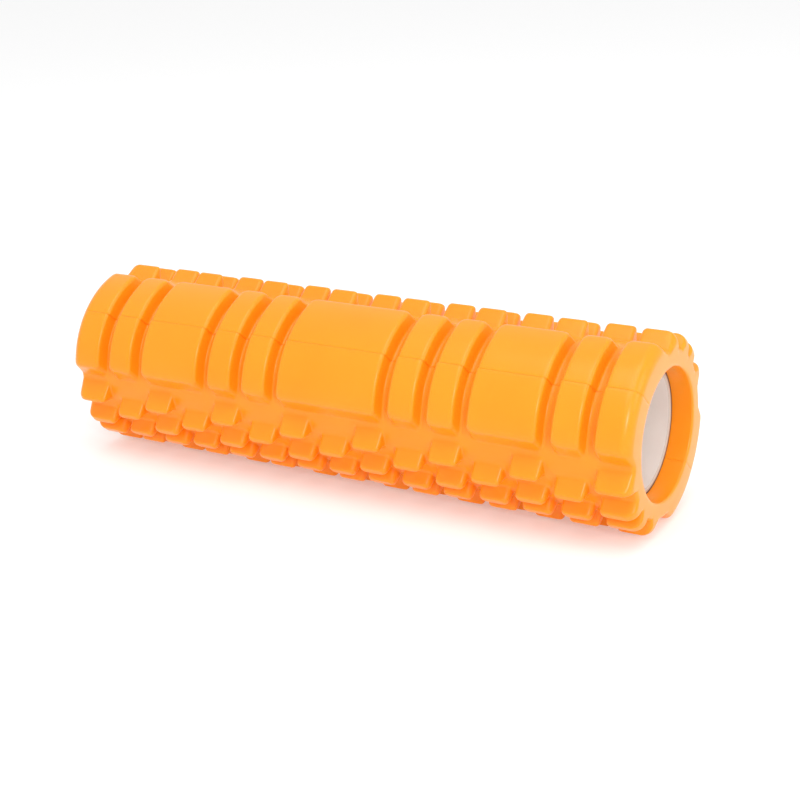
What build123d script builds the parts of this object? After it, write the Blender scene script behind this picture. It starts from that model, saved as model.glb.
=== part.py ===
from build123d import *
import math
import os

# Foam roller with a hollow rigid core, lying on its side.
# X runs along the roller, Z is up and the origin is the centre of its length and axis.
# Each foam shell is drawn in a frame of its own: x along the roller, z away from the
# glue plane, and -y towards the front seam.

# Driving dimensions, millimetres and degrees
LENGTH = 300.0
OUTER_R = 45.0           # tops of the pads and nubs
GROOVE_R = 38.0          # floor between them
CORE_R = 30.0            # outside of the tube, inside of the foam
TUBE_WALL = 2.5
TUBE_RECESS = 10.0       # the tube stops this far inside each end of the foam
TUBE_CHAMFER = 0.5
END_ROUND = 5.5          # rounding of the foam's outer end edges

COLUMNS = 15             # the pattern divides the length into this many columns
PITCH = LENGTH / COLUMNS
PAD_COLUMNS = (1, 1, 2, 1, 1, 3, 1, 1, 2, 1, 1)   # length of each wide pad, end to end
PAD_HALF_ANGLE = 36.0    # how far the wide pads reach either side of a seam
PAD_GAP = 6.8            # groove between neighbouring wide pads
PAD_CORNER = 3.0
PAD_EDGE = 1.5

NUB_ROWS = 8             # rows of nubs over the crown of each shell
ROW_STEP = 10.0          # angle between neighbouring rows
NUB_LENGTH = 13.2        # along the roller
NUB_WIDTH = 7.6          # around the roller, at its top, before its seam face is cut
NUB_TOP = 1.25           # flat top left by the seam face, on the rows next to the pads
NUB_TOP_STEP = 0.95      # and how much wider it is on each row nearer the crown
FACE_DRAFT = 8.0         # seam faces lean this far off the moulding direction
NUB_CORNER = 2.2
NUB_DRAFT = 10.0         # taper of a nub's walls, degrees
NUB_ROOT = 2.0           # how far a nub is sunk into the shell's floor
NUB_TRIM = 2.0           # spare height that the outer surface cuts off a nub
END_TRIM = 8.0           # spare length that the end face cuts off an end nub

PAD_RISE = OUTER_R * math.cos(math.radians(90 - PAD_HALF_ANGLE))
PAD_LIMIT = 90 - PAD_HALF_ANGLE
TUBE_LENGTH = LENGTH - 2 * TUBE_RECESS
END_NUB_LENGTH = LENGTH / 2 - (COLUMNS // 2 * PITCH - NUB_LENGTH / 2) + END_TRIM
END_NUB_SHIFT = (LENGTH + END_TRIM - END_NUB_LENGTH) / 2
LAST_ROW = ROW_STEP * (NUB_ROWS - 1) / 2
NUB_LIMIT = LAST_ROW - math.degrees((NUB_WIDTH / 2 - NUB_TOP) / OUTER_R)
NUB_TALL = OUTER_R - GROOVE_R + NUB_ROOT
NUB_SPREAD = 2 * NUB_TALL * math.tan(math.radians(NUB_DRAFT))

# At rest the roller stands on a wide pad and the nearest nub row, with the gap
# between them straight down, so the front seam sits this far above the horizontal.
REST_TURN = (PAD_LIMIT + NUB_LIMIT) / 2
UPPER = Plane.XY.rotated((-REST_TURN, 0, 0))
LOWER = Plane(origin=(0, 0, 0), x_dir=-UPPER.x_dir, z_dir=-UPPER.z_dir)


def wide_pad_spans():
    """Centre and length of each wide pad along the roller."""
    spans = []
    start = -LENGTH / 2
    for columns in PAD_COLUMNS:
        end = start + columns * PITCH
        left = start if start <= -LENGTH / 2 else start + PAD_GAP / 2
        right = end if end >= LENGTH / 2 else end - PAD_GAP / 2
        spans.append(((left + right) / 2, right - left))
        start = end
    return spans


# Blank: the rounded cylinder that every pad and nub is trimmed to
with BuildPart() as blank:
    Cylinder(OUTER_R, LENGTH, rotation=(0, 90, 0))
    fillet(blank.edges().filter_by(GeomType.CIRCLE), END_ROUND)


def wide_pad(centre, length):
    """One bar right across the shell: its two ends are the wide pads beside the seams.
    The bars at the ends of the roller have the end rounding, and no edge fillets."""
    with BuildPart() as pad:
        with Locations((centre, 0, 0)):
            Box(length, 2 * OUTER_R, PAD_RISE, align=(Align.CENTER, Align.CENTER, Align.MIN))
        fillet(pad.edges().filter_by(Axis.Y).group_by(Axis.Z)[-1], PAD_CORNER)
        add(blank.part, mode=Mode.INTERSECT)
        if abs(centre) + length / 2 < LENGTH / 2:
            tops = pad.faces().filter_by(GeomType.CYLINDER).filter_by(lambda face: face.radius > GROOVE_R)
            rim = ShapeList(edge for top in tops for edge in top.edges())
            fillet(rim.filter_by(lambda edge: edge.center().Z > PAD_EDGE), PAD_EDGE)
    return pad.part


def row_angle(row):
    """Angle of a row of nubs off the crown, the first row being next to the front seam."""
    return LAST_ROW - row * ROW_STEP


def seam_face(angle):
    """Plane of the face that a nub in the row at this angle turns to the nearer seam.
    All of these faces lie along the moulding direction, apart from their draft."""
    side = math.copysign(1, angle)
    lean = math.radians(abs(angle) + FACE_DRAFT)
    top = NUB_TOP + NUB_TOP_STEP * (LAST_ROW - abs(angle)) / ROW_STEP
    edge = (NUB_WIDTH / 2 - top) / OUTER_R
    origin = (0, side * OUTER_R * math.sin(edge), OUTER_R * math.cos(edge))
    return Plane(origin=origin, x_dir=(1, 0, 0), z_dir=(0, -side * math.cos(lean), math.sin(lean)))


def nub(length, shift, angle):
    """One nub of the row at this angle, drawn at the crown, its middle moved along x by shift."""
    with BuildPart() as block:
        with BuildSketch(Plane.XY.offset(GROOVE_R - NUB_ROOT)):
            with Locations((shift, 0)):
                RectangleRounded(length + NUB_SPREAD, NUB_WIDTH + NUB_SPREAD, NUB_CORNER + NUB_SPREAD / 2)
        extrude(amount=NUB_TALL + NUB_TRIM, taper=NUB_DRAFT)
        add(blank.part, mode=Mode.INTERSECT)
        split(bisect_by=seam_face(angle), keep=Keep.BOTTOM)
    return block.part


def nub_row(row):
    """A row of nubs. Every other row is shifted by a column, like bricks, and the rows
    between have a longer nub at each end that runs out to the end face."""
    angle = row_angle(row)
    reach = COLUMNS // 2 - 2 + row % 2
    nubs = [nub(NUB_LENGTH, column * PITCH, angle) for column in range(-reach, reach + 1, 2)]
    if row % 2 == 0:
        nubs += [nub(END_NUB_LENGTH, side * END_NUB_SHIFT, angle) for side in (-1, 1)]
    return nubs


# Half of the foam sleeve, with its glue plane on XY and its crown up
with BuildPart() as half_shell:
    Cylinder(GROOVE_R, LENGTH, rotation=(0, 90, 0))
    for centre, length in wide_pad_spans():
        add(wide_pad(centre, length))
    for row in range(NUB_ROWS):
        with Locations(Location((0, 0, 0), (row_angle(row), 0, 0))):
            add(nub_row(row))
    Cylinder(CORE_R, LENGTH, rotation=(0, 90, 0), mode=Mode.SUBTRACT)
    split(bisect_by=Plane.XY, keep=Keep.TOP)

# The two glued foam shells are the same moulding, one turned over
with BuildPart() as foam_shell_upper:
    with Locations(UPPER):
        add(half_shell.part)

with BuildPart() as foam_shell_lower:
    with Locations(LOWER):
        add(half_shell.part)

# Rigid core tube, open from end to end
with BuildPart() as core_tube:
    Cylinder(CORE_R, TUBE_LENGTH, rotation=(0, 90, 0))
    Cylinder(CORE_R - TUBE_WALL, TUBE_LENGTH, rotation=(0, 90, 0), mode=Mode.SUBTRACT)
    chamfer(core_tube.edges().filter_by(GeomType.CIRCLE).group_by(SortBy.RADIUS)[0], TUBE_CHAMFER)

foam_shell_upper.part.label = "foam_shell_upper"
foam_shell_lower.part.label = "foam_shell_lower"
core_tube.part.label = "core_tube"

os.makedirs("parts", exist_ok=True)
export_step(foam_shell_upper.part, "parts/foam_shell_upper.step")
export_step(foam_shell_lower.part, "parts/foam_shell_lower.step")
export_step(core_tube.part, "parts/core_tube.step")
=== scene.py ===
import bpy
import math
import numpy as np
from mathutils import Matrix, Vector


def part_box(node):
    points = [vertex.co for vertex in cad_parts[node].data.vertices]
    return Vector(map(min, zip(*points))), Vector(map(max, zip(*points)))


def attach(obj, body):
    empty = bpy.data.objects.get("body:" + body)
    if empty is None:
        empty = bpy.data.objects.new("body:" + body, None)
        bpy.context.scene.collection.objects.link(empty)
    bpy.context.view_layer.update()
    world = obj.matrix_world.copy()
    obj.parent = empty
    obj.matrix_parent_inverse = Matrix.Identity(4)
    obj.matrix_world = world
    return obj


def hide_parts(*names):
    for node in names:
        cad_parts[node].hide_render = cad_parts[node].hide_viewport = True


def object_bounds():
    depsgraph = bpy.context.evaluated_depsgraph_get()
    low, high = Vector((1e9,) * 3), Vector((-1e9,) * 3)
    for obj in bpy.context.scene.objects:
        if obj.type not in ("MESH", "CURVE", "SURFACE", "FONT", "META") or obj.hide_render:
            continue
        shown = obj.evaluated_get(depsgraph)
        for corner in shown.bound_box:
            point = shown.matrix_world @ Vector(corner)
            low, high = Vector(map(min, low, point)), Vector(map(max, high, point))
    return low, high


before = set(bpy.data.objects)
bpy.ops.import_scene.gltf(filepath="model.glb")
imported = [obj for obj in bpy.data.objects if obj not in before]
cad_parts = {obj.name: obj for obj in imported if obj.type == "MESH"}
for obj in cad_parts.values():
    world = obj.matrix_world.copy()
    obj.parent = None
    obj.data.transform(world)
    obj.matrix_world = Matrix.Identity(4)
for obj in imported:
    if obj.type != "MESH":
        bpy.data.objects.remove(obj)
CAD_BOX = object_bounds()

# The foam's size, in metres. The frame gives the tube and the length, and the rest follows.
MM = 0.001
TUBE_LOW, TUBE_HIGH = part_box("core_tube")
FOAM_LOW, FOAM_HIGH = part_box("foam_shell_upper")
HALF_LENGTH = (FOAM_HIGH.x - FOAM_LOW.x) / 2
CORE_R = (TUBE_HIGH.z - TUBE_LOW.z) / 2
OUTER_R = CORE_R * 1.5          # tops of the pads and nubs
RISE = 7 * MM                   # their height above the foam's floor
FLOOR_R = OUTER_R - RISE
END_ROUND = 5.5 * MM            # rounding of the ends of the pads and nubs
FLOOR_ROUND = 2.0 * MM          # and of the floor between them, where it meets an end face
LIP_ROUND = 1.0 * MM            # rounding of the mouth's edge
CUT_DEPTH = 0.6 * MM            # how much of the tube looks cut at each end, chamfer included
SEAM_ROUND = 0.2 * MM           # the shells' edges along the glue line

# The pattern. Angles are degrees from the crown of a shell, positive towards the front seam.
SEAM_ANGLE = 90.0               # where the seams are, on both sides
COLUMNS = 15
SIDE_COLUMNS = COLUMNS // 2     # columns on each side of the middle one
PITCH = 2 * HALF_LENGTH / COLUMNS
PAD_COLUMNS = (1, 1, 2, 1, 1, 3, 1, 1, 2, 1, 1)
PAD_GAP = 6.8 * MM              # groove between two wide pads, at their tops
PAD_END = 54.0                  # where the pads' tops end
PAD_CORNER = 3.0 * MM
NUB_ROWS = 8
ROW_STEP = 10.0
NUB_LENGTH = 14.0 * MM
NUB_EDGE = 5.8                  # from a row's angle to its tops' edge on the crown's side
NUB_TOP = 2.56                  # degrees that the tops take up on the rows next to the pads
NUB_TOP_STEP = 1.2              # and degrees more on each row nearer the crown
NUB_CORNER = 2.8 * MM           # corners on the crown's side
FACE_CORNER = 2.0 * MM          # corners of the faces that look to the nearer seam
FACE_DRAFT = 7.0                # those faces lean this far off the moulding direction
CORNER_SHARE = 0.45             # a corner takes at most this share of a narrow top
NUB_ZONE = 43.0                 # nubs and their walls stay within this angle
LAST_ROW = ROW_STEP * (NUB_ROWS - 1) / 2
REST_TURN = (PAD_END + LAST_ROW - NUB_EDGE + NUB_TOP) / 2
SEAM_SHIFT = 0.2 * MM           # the two shells' patterns miss each other by twice this
PATTERN_SHIFT = 0.8 * MM        # how far towards +X both patterns sit off the middle

# The grid that the foam's skin is made of. A block's rings go from its flat top down its
# wall, each at its own depth below the top, and the first few open out the corners.
DROPS = np.array((0, 0, 0, 0, 0.05, 0.2, 0.5, 1.0, 1.8, 5.9, 6.5, 6.85, 7.0)) * MM
HEIGHTS = RISE - DROPS
RINGS = len(DROPS)
SPREAD = np.minimum(np.arange(RINGS) / (np.count_nonzero(DROPS == 0) - 1), 1)
CORE_LINES = 2                  # steps across the flat middle of a nub's top
CELL_LINES = 2 * RINGS + CORE_LINES
PAD_LINES = 20                  # steps along a wide pad, from its wall to the seam
PAD_CELL = PAD_LINES + RINGS    # lines from the seam to the nubs' zone
SEAM_LINES = np.array((0, 0.12, 0.4, 1)) * SEAM_ROUND
SEAM_END = len(SEAM_LINES) - 1  # the last line of the seam's rounded edge
FACE_STEPS = (0.4, 0.8, 1.0)    # rows of an end face, as shares of the way in to the mouth
LIP_TURNS = (30, 60, 90)        # rows of the mouth's rounded edge, in degrees
BORE_LINES = 14                 # rows along the foam's hole
SHARP_ANGLE = 50                # edges sharper than this many degrees aren't smoothed

# The room and the camera, which looks at its aim. Its angles are in degrees.
FLOOR_REACH = 40 * HALF_LENGTH  # from the roller to the edges of the floor
ROOM_LIGHT = 0.84
CAMERA_AIM = Vector((11.85, 5.04, -6.06)) * MM
CAMERA_DISTANCE = 0.7594
CAMERA_AZIMUTH = 31.11
CAMERA_ELEVATION = 19.69
CAMERA_ROLL = -2.28
CAMERA_LENS = 71.24


def wall(draft, top_round, root_round):
    """How far a wall stands outside its block's top outline, at each of HEIGHTS.
    It leans out by draft degrees and is rounded at its top and its root."""
    lean = math.radians(draft)
    turn = math.pi / 2 - lean
    top_run = top_round * math.tan(turn / 2)
    root_run = root_round * math.tan(turn / 2)
    out = (RISE - HEIGHTS) * math.tan(lean)
    sag = np.maximum(top_round**2 - (HEIGHTS - RISE + top_round) ** 2, 0)
    out = np.where(HEIGHTS > RISE - top_round * (1 - math.cos(turn)), np.sqrt(sag) - top_run, out)
    sag = np.maximum(root_round**2 - (root_round - HEIGHTS) ** 2, 0)
    foot = RISE * math.tan(lean) + root_run - np.sqrt(sag)
    return np.where(HEIGHTS < root_round * (1 - math.cos(turn)), foot, out)


def degrees_out(offsets):
    """A wall's offsets as angles about the roller's axis."""
    return np.degrees(offsets / (FLOOR_R + HEIGHTS))


NUB_SIDE = wall(draft=3, top_round=2.0 * MM, root_round=1.0 * MM)
NUB_BACK = degrees_out(wall(draft=16, top_round=1.0 * MM, root_round=0.6 * MM))
PAD_SIDE = wall(draft=5, top_round=1.8 * MM, root_round=1.2 * MM)
PAD_FOOT = degrees_out(wall(draft=38, top_round=3.5 * MM, root_round=2.5 * MM))


def row_angle(row):
    return LAST_ROW - row * ROW_STEP


def seam_face(row):
    """The wall that a nub turns to the nearer seam. All of them lie along the direction
    in which the shell leaves its mould, so they lean further the nearer they are to it."""
    draft = abs(row_angle(row)) + FACE_DRAFT
    return degrees_out(wall(draft, top_round=1.0 * MM, root_round=2.0 * MM))


def end_drop(x, height):
    """How far the rounding of the ends lowers a point at this height above the floor."""
    rounding = FLOOR_ROUND + (END_ROUND - FLOOR_ROUND) * height / RISE
    past = np.clip(np.abs(x) - HALF_LENGTH + rounding, 0, rounding)
    return rounding - np.sqrt(rounding**2 - past**2)


def column_lines(column):
    """X of the grid's lines over one column, its first line included."""
    inner = NUB_LENGTH / 2 + NUB_SIDE[0] - NUB_CORNER
    side = np.linspace(-PITCH / 2, -inner, RINGS + 1)
    x = np.concatenate((side, np.linspace(-inner, inner, CORE_LINES + 1)[1:-1], -side[::-1]))
    if abs(column) == SIDE_COLUMNS:
        turn = np.linspace(0, math.pi / 2, RINGS + 1)
        arc = PITCH / 2 - END_ROUND * (1 - np.sin(turn))
        x = np.concatenate((side, np.linspace(-inner, arc[0], CORE_LINES + 1)[1:-1], arc))
        x = x if column > 0 else -x[::-1]
    return column * PITCH + x


def grid_x():
    lines = [column_lines(column)[:-1] for column in range(-SIDE_COLUMNS, SIDE_COLUMNS + 1)]
    return np.concatenate((*lines, [HALF_LENGTH]))


def grid_angles():
    """Angles of the grid's lines, from the front seam to the back one."""
    seam = SEAM_ANGLE - np.degrees(SEAM_LINES / OUTER_R)
    foot = PAD_END - PAD_FOOT[0] + math.degrees(PAD_CORNER / OUTER_R)
    pad = np.concatenate((seam, np.linspace(seam[-1], foot, PAD_LINES - SEAM_END + 1)[1:]))
    wall_lines = np.linspace(foot, NUB_ZONE, RINGS + 1)[1:]
    first_row = np.linspace(NUB_ZONE, LAST_ROW, CELL_LINES // 2 + 1)[1:]
    rows = np.linspace(LAST_ROW, -LAST_ROW, (NUB_ROWS - 1) * CELL_LINES // 2 + 1)[1:-1]
    front = np.concatenate((pad, wall_lines, first_row))
    return np.concatenate((front, rows, -front[::-1]))


def between(start, stop, share):
    return start + (stop - start) * share


def raise_block(skin, columns, lines, sides, ends, side_wall, end_walls, corners):
    """Raise one block of the pattern out of the floor.

    columns and lines are the first and last grid line of its cell, along x and by angle.
    sides are the x of its top outline, or None where it runs out of the cell, and ends
    are its angles, front first, with a wall and a corner radius for each. The lines of
    the cell close in on the block's outline as rings, with one height to a ring and
    rounded corners, and the outermost ring stays on the cell's edge."""
    x, angle, height = skin
    i = np.arange(columns[0], columns[1] + 1)
    j = np.arange(lines[0], lines[1] + 1)
    left, right = (np.clip(RINGS - away, 0, None) * (side is not None)
                   for away, side in zip((i - i[0], i[-1] - i), sides))
    front, back = (np.clip(RINGS - away, 0, None) * (end is not None)
                   for away, end in zip((j - j[0], j[-1] - j), ends))
    across, along = np.meshgrid(left + right, front + back, indexing="ij")
    ring = np.maximum(across, along)
    level = np.minimum(ring, RINGS - 1)
    share = np.minimum(across, along) / np.maximum(ring, 1)
    turn = np.where(across >= along, share, 2 - share) * math.pi / 4

    plain_x, plain_angle = x[i, j[0]], angle[i[0], j]
    widest = max(corners)
    steps = np.clip((i - i[0] - RINGS) / (len(i) - 1 - 2 * RINGS), 0, 1)[:, None]
    rows = []
    for corner in corners:
        radius = SPREAD * corner
        out = side_wall - (1 - SPREAD) * widest - radius
        low = np.full(RINGS, plain_x[RINGS]) if sides[0] is None else sides[0] - out
        high = np.full(RINGS, plain_x[-1 - RINGS]) if sides[1] is None else sides[1] + out
        row_x = between(low[level], high[level], steps)
        row_x = np.where(left[:, None] > 0, low[level] - radius[level] * np.cos(turn), row_x)
        rows.append(np.where(right[:, None] > 0, high[level] + radius[level] * np.cos(turn), row_x))

    # narrow tops have flattened corners
    spans = np.degrees(1 / (FLOOR_R + HEIGHTS))
    if None in ends:
        width = np.full(RINGS, SEAM_ANGLE)
    else:
        width = ends[0] - ends[1] + end_walls[0] + end_walls[1]
    shrink = (1 - SPREAD) * np.minimum(widest * spans, CORNER_SHARE * width)
    centres = []
    for end, offsets, corner, sign in zip(ends, end_walls, corners, (1, -1)):
        radius = np.minimum(SPREAD * corner * spans, CORNER_SHARE * (width - 2 * shrink))
        if end is None:
            centres.append((None, None))
        else:
            centres.append(((end + sign * (offsets - shrink - radius))[level], radius[level]))
    (front_centre, front_radius), (back_centre, back_radius) = centres
    steps = np.clip((j - j[0] - RINGS) / max(len(j) - 1 - 2 * RINGS, 1), 0, 1)
    if ends[0] is None:
        seam = plain_angle[SEAM_END]
        steps = np.clip((plain_angle - seam) / (plain_angle[-1 - RINGS] - seam), 0, 1)
        new_angle = np.where(steps > 0, between(seam, back_centre, steps), plain_angle)
    elif ends[1] is None:
        seam = plain_angle[-1 - SEAM_END]
        steps = np.clip((plain_angle - seam) / (plain_angle[RINGS] - seam), 0, 1)
        new_angle = np.where(steps > 0, between(seam, front_centre, steps), plain_angle)
    else:
        new_angle = between(front_centre, back_centre, steps)
    if ends[0] is not None:
        new_angle = np.where(front > 0, front_centre + front_radius * np.sin(turn), new_angle)
    if ends[1] is not None:
        new_angle = np.where(back > 0, back_centre - back_radius * np.sin(turn), new_angle)

    blend = np.where(front > 0, 0.0, np.where(back > 0, 1.0, steps if None not in ends else 0.0))
    new_x = between(rows[0], rows[1], blend)
    inside = ring < RINGS
    for side, edge_lines in ((sides[0], i - i[0] < RINGS), (sides[1], i[-1] - i < RINGS)):
        if side is None:
            new_x = np.where(edge_lines[:, None], plain_x[:, None], new_x)
    cell = np.ix_(i, j)
    x[cell] = np.where(inside, new_x, x[cell])
    angle[cell] = np.where(inside, new_angle, angle[cell])
    height[cell] = np.where(inside, HEIGHTS[level], 0.0)


def pad_blocks(skin, shift):
    """The wide pads of both seams."""
    last = skin[0].shape[1] - 1
    column = 0
    for count in PAD_COLUMNS:
        cell = (column * CELL_LINES, (column + count) * CELL_LINES)
        low = -HALF_LENGTH + column * PITCH + PAD_GAP / 2 + shift
        high = -HALF_LENGTH + (column + count) * PITCH - PAD_GAP / 2 + shift
        sides = (low if column else None, high if column + count < COLUMNS else None)
        for lines, ends in (((0, PAD_CELL), (None, PAD_END)),
                            ((last - PAD_CELL, last), (-PAD_END, None))):
            raise_block(skin, cell, lines, sides, ends, PAD_SIDE, (PAD_FOOT, PAD_FOOT),
                        (PAD_CORNER, PAD_CORNER))
        column += count


def nub_blocks(skin, shift):
    """Rows of nubs over the crown, every other row shifted by a column, like bricks."""
    for row in range(NUB_ROWS):
        centre = row_angle(row)
        edge = abs(centre) - NUB_EDGE
        top = edge + NUB_TOP + NUB_TOP_STEP * (LAST_ROW - abs(centre)) / ROW_STEP
        ends, walls, corners = (top, edge), (seam_face(row), NUB_BACK), (FACE_CORNER, NUB_CORNER)
        if centre < 0:
            ends, walls, corners = (-edge, -top), walls[::-1], corners[::-1]
        line = PAD_CELL + row * CELL_LINES // 2
        reach = SIDE_COLUMNS - row % 2
        for column in range(-reach, reach + 1, 2):
            start = (column + SIDE_COLUMNS) * CELL_LINES
            x = column * PITCH + shift
            sides = [x - NUB_LENGTH / 2, x + NUB_LENGTH / 2]
            if abs(column) == SIDE_COLUMNS:
                sides[column > 0] = None
            raise_block(skin, (start, start + CELL_LINES), (line, line + CELL_LINES), sides, ends,
                        NUB_SIDE, walls, corners)


def trimmed_skin(shift):
    """X, angle and radius of every point of a half shell's outer surface."""
    x, angle = (a.copy() for a in np.meshgrid(grid_x(), grid_angles(), indexing="ij"))
    height = np.zeros_like(x)
    pad_blocks((x, angle, height), shift)
    nub_blocks((x, angle, height), shift)
    return x, angle, FLOOR_R + height - end_drop(x, height)


def end_rows(angle, radius, side):
    """The end face, from the skin's edge in to the mouth, and the mouth's rounded edge,
    with each row's outward direction along x and along the radius."""
    rows = []
    plain = grid_angles()
    for step in FACE_STEPS:
        r = radius + (CORE_R + LIP_ROUND - radius) * step
        rows.append((0 * r + side * HALF_LENGTH, angle + (plain - angle) * step, r, side, 0))
    for turn in np.radians(LIP_TURNS):
        out, inward = math.cos(turn), math.sin(turn)
        at = side * (HALF_LENGTH - LIP_ROUND + LIP_ROUND * out)
        r = CORE_R + LIP_ROUND - LIP_ROUND * inward
        rows.append((0 * angle + at, plain, 0 * angle + r, side * out, -inward))
    return rows


def shell_mesh(name, shift, place):
    """A half shell as one closed mesh. place turns x, angle and radius into x, y and z."""
    x, angle, radius = trimmed_skin(shift)
    past = np.clip((np.abs(x[:, 0]) - HALF_LENGTH + END_ROUND) / END_ROUND, 0, 1)
    lean = np.arcsin(past) * np.sign(x[:, 0])
    loop = [(x[i], angle[i], radius[i], math.sin(lean[i]), math.cos(lean[i])) for i in range(len(x))]
    loop += end_rows(angle[-1], radius[-1], 1)
    for at in np.linspace(HALF_LENGTH - LIP_ROUND, LIP_ROUND - HALF_LENGTH, BORE_LINES + 2)[1:-1]:
        loop.append((0 * angle[0] + at, grid_angles(), 0 * angle[0] + CORE_R, 0, -1))
    loop += end_rows(angle[0], radius[0], -1)[::-1]

    # the edges along the glue line are rounded off
    away = np.radians(SEAM_ANGLE - np.abs(grid_angles())) * OUTER_R
    inside = np.clip(SEAM_ROUND - away, 0, SEAM_ROUND)
    drop = SEAM_ROUND - np.sqrt(SEAM_ROUND**2 - inside**2)
    points = []
    for line_x, line_angle, line_radius, out_x, out_r in loop:
        points.append(place(line_x - drop * out_x, line_angle, line_radius - drop * out_r))
    points = np.array(points)
    around, along = points.shape[:2]
    faces = []
    for i in range(around):
        k = (i + 1) % around
        for j in range(along - 1):
            faces.append((i * along + j, k * along + j, k * along + j + 1, i * along + j + 1))
    faces.append([i * along for i in range(around - 1, -1, -1)])
    faces.append([i * along + along - 1 for i in range(around)])
    mesh = bpy.data.meshes.new(name)
    mesh.from_pydata(points.reshape(-1, 3).tolist(), [], faces)
    mesh.update()
    mesh.shade_smooth()
    mesh.set_sharp_from_angle(angle=math.radians(SHARP_ANGLE))
    piece = bpy.data.objects.new(name, mesh)
    bpy.context.scene.collection.objects.link(piece)
    return piece


def in_frame(side):
    """Where a point of the upper shell (side 1) or of the lower one (-1) lies."""
    def place(x, angle, radius):
        turn = np.radians(angle - REST_TURN if side > 0 else 180 - angle - REST_TURN)
        return np.stack((side * x, -radius * np.sin(turn), radius * np.cos(turn)), axis=-1)
    return place


def new_material(name):
    material = bpy.data.materials.new(name)
    material.use_nodes = True
    nodes = material.node_tree.nodes
    return material, nodes, material.node_tree.links, nodes["Principled BSDF"]


def add_noise(nodes, links, coordinates, scale, detail, name):
    texture = nodes.new("ShaderNodeTexNoise")
    texture.name = name
    texture.inputs["Scale"].default_value = scale
    texture.inputs["Detail"].default_value = detail
    links.new(coordinates.outputs["Object"], texture.inputs["Vector"])
    return texture


def add_ramp(nodes, links, source, low, high):
    """A colour ramp from low to high, each a (position, colour) pair."""
    ramp = nodes.new("ShaderNodeValToRGB")
    for element, (position, colour) in zip(ramp.color_ramp.elements, (low, high)):
        element.position = position
        element.color = (*colour, 1)
    links.new(source, ramp.inputs["Fac"])
    return ramp


def foam_material():
    """Moulded closed-cell foam: a smooth, slightly glossy skin with a faint grain."""
    material, nodes, links, shader = new_material("eva_foam")
    where = nodes.new("ShaderNodeTexCoord")
    cloud = add_noise(nodes, links, where, 22, 2, "cloud")
    colour = add_ramp(nodes, links, cloud.outputs["Fac"],
                      (0.3, (0.97, 0.28, 0.006)), (0.7, (1.0, 0.302, 0.009)))
    links.new(colour.outputs["Color"], shader.inputs["Base Color"])
    grain = add_noise(nodes, links, where, 1800, 3, "grain")
    gloss = add_ramp(nodes, links, grain.outputs["Fac"], (0.3, (0.32,) * 3), (0.7, (0.42,) * 3))
    links.new(gloss.outputs["Color"], shader.inputs["Roughness"])
    bump = nodes.new("ShaderNodeBump")
    bump.inputs["Strength"].default_value = 0.08
    bump.inputs["Distance"].default_value = 0.05 * MM
    links.new(grain.outputs["Fac"], bump.inputs["Height"])
    links.new(bump.outputs["Normal"], shader.inputs["Normal"])
    shader.inputs["Specular IOR Level"].default_value = 0.05
    shader.inputs["Coat Weight"].default_value = 1.0
    shader.inputs["Coat Roughness"].default_value = 0.28
    shader.inputs["Coat IOR"].default_value = 1.36
    shader.inputs["Subsurface Weight"].default_value = 0.2
    shader.inputs["Subsurface Radius"].default_value = (1.0, 0.35, 0.08)
    shader.inputs["Subsurface Scale"].default_value = 2 * MM
    return material


def tube_material():
    """Off-white plastic with faint smudges. Its cut ends are duller, with painted shade darkening
    their outer edge where the tube meets the foam.
    """
    material, nodes, links, shader = new_material("core_plastic")
    where = nodes.new("ShaderNodeTexCoord")
    cloud = add_noise(nodes, links, where, 45, 4, "smudges")
    colour = add_ramp(nodes, links, cloud.outputs["Fac"],
                      (0.3, (0.8, 0.75, 0.71)), (0.7, (0.86, 0.82, 0.78)))
    along = nodes.new("ShaderNodeSeparateXYZ")
    links.new(where.outputs["Object"], along.inputs["Vector"])
    length = nodes.new("ShaderNodeMath")
    length.operation = "ABSOLUTE"
    links.new(along.outputs["X"], length.inputs[0])
    cut = nodes.new("ShaderNodeMath")
    cut.operation = "GREATER_THAN"
    cut.inputs[1].default_value = TUBE_HIGH.x - CUT_DEPTH
    links.new(length.outputs["Value"], cut.inputs[0])
    mix = nodes.new("ShaderNodeMix")
    mix.data_type = "RGBA"
    across = nodes.new("ShaderNodeVectorMath")
    across.operation = "MULTIPLY"
    across.inputs[1].default_value = (0, 1, 1)
    links.new(where.outputs["Object"], across.inputs[0])
    radius = nodes.new("ShaderNodeVectorMath")
    radius.operation = "LENGTH"
    links.new(across.outputs["Vector"], radius.inputs[0])
    share = nodes.new("ShaderNodeMath")
    share.operation = "DIVIDE"
    share.inputs[1].default_value = CORE_R
    links.new(radius.outputs["Value"], share.inputs[0])
    # painted shade: the cut ends turn dark near their outer edge, where the tube meets the foam,
    # standing in for the shadow in the gap between them; further in they are only a duller grey
    cut_end_and_gap_shade = add_ramp(nodes, links, share.outputs["Value"],
                   (0.955, (0.56, 0.5, 0.44)), (0.975, (0.12, 0.07, 0.05)))
    links.new(cut_end_and_gap_shade.outputs["Color"], mix.inputs["B"])
    links.new(cut.outputs["Value"], mix.inputs["Factor"])
    links.new(colour.outputs["Color"], mix.inputs["A"])
    links.new(mix.outputs["Result"], shader.inputs["Base Color"])
    shader.inputs["Roughness"].default_value = 0.5
    return material


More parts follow.
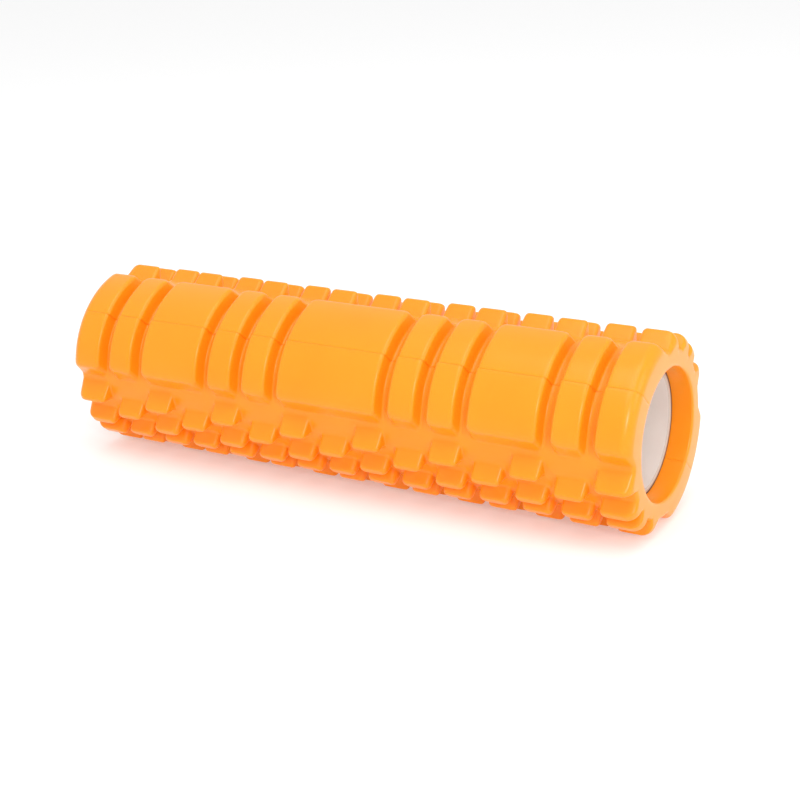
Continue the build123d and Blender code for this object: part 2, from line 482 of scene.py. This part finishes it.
def stage():
    """Pale floor under the roller, with a white room all round it."""
    bottom = CAD_BOX[0].z
    corners = [(x * FLOOR_REACH, y * FLOOR_REACH, bottom)
               for x, y in ((-1, -1), (1, -1), (1, 1), (-1, 1))]
    mesh = bpy.data.meshes.new("floor")
    mesh.from_pydata(corners, [], [(0, 1, 2, 3)])
    floor = bpy.data.objects.new("floor", mesh)
    bpy.context.scene.collection.objects.link(floor)
    material, _, _, shader = new_material("floor")
    shader.inputs["Base Color"].default_value = (0.72, 0.72, 0.72, 1)
    shader.inputs["Roughness"].default_value = 0.8
    shader.inputs["Emission Color"].default_value = (1, 1, 1, 1)
    shader.inputs["Emission Strength"].default_value = 0.3
    mesh.materials.append(material)
    world = bpy.data.worlds.new("room")
    world.use_nodes = True
    world.node_tree.nodes["Background"].inputs["Color"].default_value = (1, 1, 1, 1)
    world.node_tree.nodes["Background"].inputs["Strength"].default_value = ROOM_LIGHT
    bpy.context.scene.world = world


def add_light(name, place, size, power):
    """A square soft light that faces the roller's middle."""
    light = bpy.data.lights.new(name, "AREA")
    light.size = size
    light.energy = power
    lamp = bpy.data.objects.new(name, light)
    lamp.location = place
    lamp.rotation_mode = "QUATERNION"
    lamp.rotation_quaternion = (-Vector(place)).to_track_quat("-Z", "Y")
    bpy.context.scene.collection.objects.link(lamp)


def add_camera():
    azimuth, elevation = math.radians(CAMERA_AZIMUTH), math.radians(CAMERA_ELEVATION)
    back = Vector((math.sin(azimuth) * math.cos(elevation), -math.cos(azimuth) * math.cos(elevation),
                   math.sin(elevation)))
    camera = bpy.data.objects.new("camera", bpy.data.cameras.new("camera"))
    camera.data.lens = CAMERA_LENS
    camera.data.clip_start = 0.01
    camera.rotation_mode = "QUATERNION"
    camera.location = CAMERA_AIM + back * CAMERA_DISTANCE
    upright = (-back).to_track_quat("-Z", "Y")
    roll = Matrix.Rotation(math.radians(CAMERA_ROLL), 3, back).to_quaternion()
    camera.rotation_quaternion = roll @ upright
    bpy.context.scene.collection.objects.link(camera)
    bpy.context.scene.camera = camera


foam = foam_material()
for node, side in (("foam_shell_upper", 1), ("foam_shell_lower", -1)):
    shell = shell_mesh(node + "_skin", SEAM_SHIFT + side * PATTERN_SHIFT, in_frame(side))
    shell.data.materials.append(foam)
    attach(shell, "root")
    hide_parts(node)

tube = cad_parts["core_tube"]
tube.data.materials.clear()
tube.data.materials.append(tube_material())

stage()
add_light("front", (1.0, -1.05, 0.67), 0.2, 5.5)
add_light("top", (0.2, -0.4, 1.4), 1.2, 10)
add_light("side", (1.15, 0.05, 0.6), 0.6, 2.2)
add_camera()
bpy.context.scene.view_settings.view_transform = "Standard"
